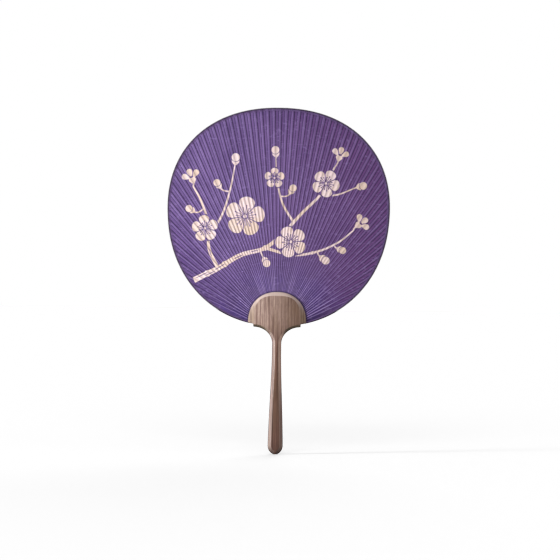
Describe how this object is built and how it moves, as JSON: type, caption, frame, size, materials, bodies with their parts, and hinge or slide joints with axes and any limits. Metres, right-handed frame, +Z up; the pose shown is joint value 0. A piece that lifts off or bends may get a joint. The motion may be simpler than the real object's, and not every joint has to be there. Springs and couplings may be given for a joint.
{
  "type": "round paper hand fan",
  "caption": "Rigid round hand fan: a flat leaf of thin radial ribs between two pleated paper sheets, bound at the rim and held in the sawn head of a tapering wooden handle",
  "frame": {"origin": "lowest point of the handle's rounded end, on the middle plane of the leaf and of the handle", "axes": "+Z runs up the handle to the top of the leaf; +X runs across the leaf, to the right for a viewer who faces its pictured front; -Y is the pictured front's outward direction and +Y the plain back's"},
  "size_m": [0.238, 0.0094, 0.3702],
  "materials": {
    "handle_wood": "planed close-grained wood, stained grey-brown and lightly waxed",
    "dyed_paper": "matt hand-made fibre paper dyed purple, with a pale reserved pattern on the front",
    "binding_paper": "thin dark purple paper strip, smoother and a little darker than the sheets",
    "bamboo": "split pale bamboo, left raw"
  },
  "bodies": {
    "root": {"handle": "handle_wood", "front_paper": "dyed_paper", "back_paper": "dyed_paper", "edge_binding": "binding_paper", "rib_center": "bamboo", "rib_pair_01": "bamboo", "rib_pair_02": "bamboo", "rib_pair_03": "bamboo", "rib_pair_04": "bamboo", "rib_pair_05": "bamboo", "rib_pair_06": "bamboo", "rib_pair_07": "bamboo", "rib_pair_08": "bamboo", "rib_pair_09": "bamboo", "rib_pair_10": "bamboo", "rib_pair_11": "bamboo", "rib_pair_12": "bamboo", "rib_pair_13": "bamboo", "rib_pair_14": "bamboo", "rib_pair_15": "bamboo", "rib_pair_16": "bamboo", "rib_pair_17": "bamboo", "rib_pair_18": "bamboo", "rib_pair_19": "bamboo", "rib_pair_20": "bamboo", "rib_pair_21": "bamboo", "rib_pair_22": "bamboo", "rib_pair_23": "bamboo", "rib_pair_24": "bamboo", "rib_pair_25": "bamboo", "rib_pair_26": "bamboo", "rib_pair_27": "bamboo", "rib_pair_28": "bamboo", "rib_pair_29": "bamboo", "rib_pair_30": "bamboo", "rib_pair_31": "bamboo", "rib_pair_32": "bamboo"}
  },
  "joints": []
}
